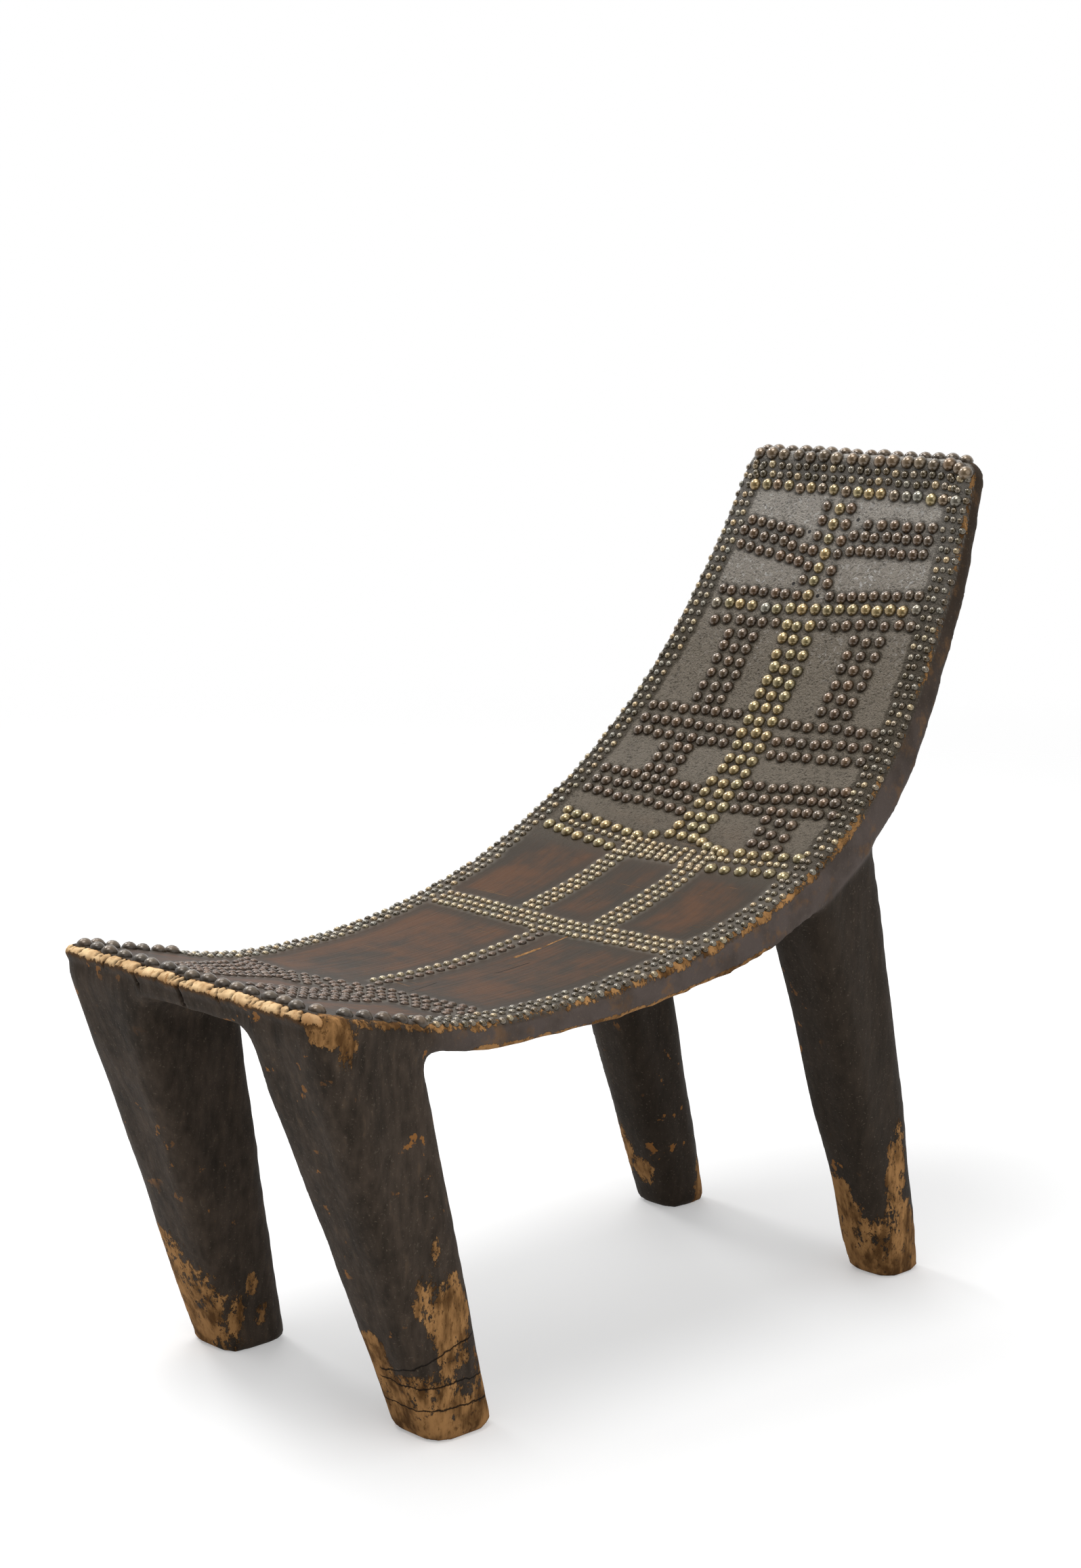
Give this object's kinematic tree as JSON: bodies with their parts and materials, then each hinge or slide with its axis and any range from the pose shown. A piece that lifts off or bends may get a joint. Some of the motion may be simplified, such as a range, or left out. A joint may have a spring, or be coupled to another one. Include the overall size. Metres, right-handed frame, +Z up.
{
  "type": "carved wooden stool",
  "caption": "Low carved stool with a raised back: a slab that curves up from seat to back on tapering legs, studded with rows of dome-headed tacks.",
  "frame": {"origin": "on the floor, under the middle of the whole stool", "axes": "+Z up, the front of the seat towards -Y, +X to the right of someone facing the seat's back"},
  "size_m": [0.316, 0.7097, 0.6482],
  "materials": {
    "carved_wood": "dark, handled wood, worn to pale tan on edges and feet",
    "brass_tacks": "rubbed, tarnished in the hollows",
    "copper_tacks": "dark brown patina, glossy",
    "iron_tacks": "dark, smooth with handling",
    "medium_tacks": "dark brown patina, glossy",
    "small_tacks": "dull, with bright worn tops"
  },
  "bodies": {
    "root": {"carved_wood": "carved_wood", "top_face_row": "iron_tacks", "top_edge_row": "iron_tacks", "front_edge_row": "iron_tacks", "top_brass_row": "brass_tacks", "stem_middle": "brass_tacks", "middle_brass_row": "brass_tacks", "spine_left": "brass_tacks", "spine_middle": "brass_tacks", "spine_right": "brass_tacks", "seat_head_row_1_left": "brass_tacks", "seat_head_row_1_right": "brass_tacks", "seat_head_row_2_left": "brass_tacks", "seat_head_row_2_right": "brass_tacks", "stem_left": "copper_tacks", "stem_right": "copper_tacks", "upper_row_1_left": "copper_tacks", "upper_row_1_right": "copper_tacks", "upper_row_2_left": "copper_tacks", "upper_row_2_right": "copper_tacks", "upper_row_3_left": "copper_tacks", "upper_row_3_right": "copper_tacks", "cross_row_1_left": "copper_tacks", "cross_row_1_right": "copper_tacks", "cross_row_2_left": "copper_tacks", "cross_row_2_right": "copper_tacks", "cross_row_3_left": "copper_tacks", "cross_row_3_right": "copper_tacks", "bend_row_1_left": "copper_tacks", "bend_row_1_right": "copper_tacks", "bend_row_2_left": "copper_tacks", "bend_row_2_right": "copper_tacks", "bend_row_3_left": "copper_tacks", "bend_row_3_right": "copper_tacks", "middle_row_left": "copper_tacks", "middle_row_right": "copper_tacks", "lower_row_left": "copper_tacks", "lower_row_right": "copper_tacks", "upper_post_left": "copper_tacks", "upper_post_right": "copper_tacks", "lower_post_left": "copper_tacks", "lower_post_right": "copper_tacks", "front_band_1": "medium_tacks", "front_band_2": "medium_tacks", "front_post_left": "medium_tacks", "front_post_right": "medium_tacks", "centre_row_right": "medium_tacks", "top_small_row_1": "small_tacks", "top_small_row_2": "small_tacks", "seat_head_small_left": "small_tacks", "seat_head_small_right": "small_tacks", "long_band_left": "small_tacks", "long_band_right": "small_tacks", "cross_band": "small_tacks", "centre_row_left": "small_tacks", "border_left": "small_tacks", "border_right": "small_tacks"}
  },
  "joints": []
}
